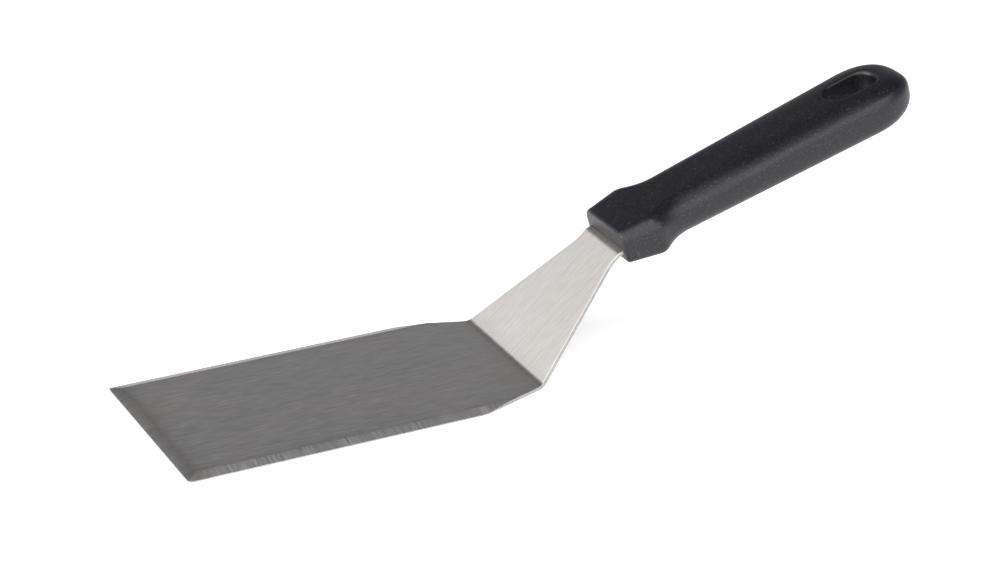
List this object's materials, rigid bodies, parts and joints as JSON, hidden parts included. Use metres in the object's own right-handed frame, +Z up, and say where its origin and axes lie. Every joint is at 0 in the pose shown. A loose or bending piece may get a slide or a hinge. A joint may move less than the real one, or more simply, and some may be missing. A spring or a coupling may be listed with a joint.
{
  "type": "offset spatula",
  "caption": "Offset spatula with a flat rectangular blade, a cranked tapering neck and a moulded handle with a hanging slot.",
  "frame": {"origin": "middle of the blade's flat underside, on the surface that the spatula lies on", "axes": "+Z up, square to the blade; +X from the blade's front edge towards the handle; the spatula is symmetrical about y = 0"},
  "size_m": [0.3045, 0.075, 0.0848],
  "materials": {
    "blade_steel": "fine lengthwise brushed grain, ground bevels",
    "handle_plastic": "black polypropylene with a fine moulded texture"
  },
  "bodies": {
    "root": {"blade": "blade_steel", "handle": "handle_plastic"}
  },
  "joints": []
}
